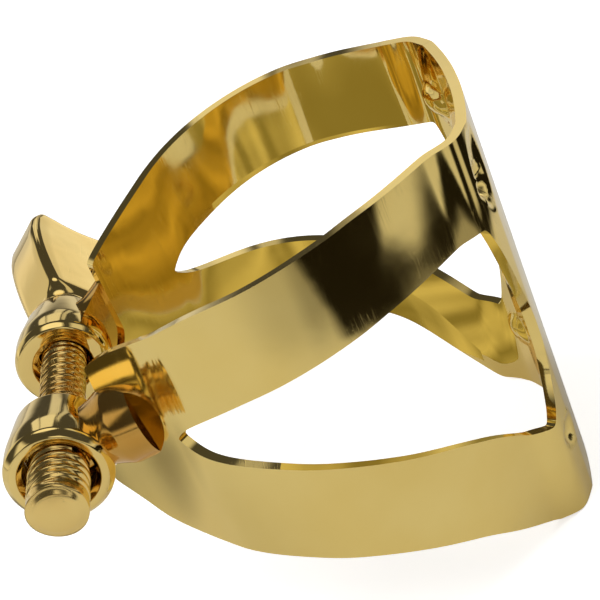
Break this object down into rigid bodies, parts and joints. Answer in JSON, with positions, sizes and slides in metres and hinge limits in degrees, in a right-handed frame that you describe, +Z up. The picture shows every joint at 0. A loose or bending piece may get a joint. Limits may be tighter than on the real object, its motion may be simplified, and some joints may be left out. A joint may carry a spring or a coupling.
{
  "type": "saxophone ligature",
  "caption": "Forked sheet-metal clamp ring with two strips, a waisted reed plate and a thumb screw joining two posts, for a saxophone mouthpiece.",
  "frame": {"origin": "centre of the bounding box in plan, at the height of the reed plate's lower edge, which the ligature stands on", "axes": "+Z up along the mouthpiece toward its tip, +X from the clamp screw toward the reed plate, +Y toward the thumb head"},
  "size_m": [0.034, 0.034, 0.0274],
  "materials": {
    "gold_sheet": "mirror-polished gold plate",
    "gold_hardware": "polished gold plate"
  },
  "bodies": {
    "band": {"band_reed_plate_and_back_arm": "gold_sheet", "back_post_foot": "gold_hardware", "back_post_barrel": "gold_hardware"},
    "front_arm": {"band_front_arm": "gold_sheet", "front_post_foot": "gold_hardware", "front_post_barrel": "gold_hardware"},
    "thumb_screw": {"thumb_screw_shank": "gold_hardware", "thumb_screw_collar": "gold_hardware", "thumb_screw_wing": "gold_hardware"}
  },
  "joints": [
    {"name": "thumb_screw_turn", "type": "hinge", "parent": "band", "child": "thumb_screw", "pos_m": [-0.01317, -0.00229, 0.01628], "axis": [0, -1, 0], "range_deg": [-360, 720]},
    {"name": "front_arm_flex", "type": "hinge", "parent": "band", "child": "front_arm", "pos_m": [0.01363, -0.01069, 0.01418], "axis": [0, 0, -1], "range_deg": [-1.5, 3]}
  ],
  "couplings": [
    {"joint": "front_arm_flex", "follows": "thumb_screw_turn", "ratio": 0.00415}
  ]
}
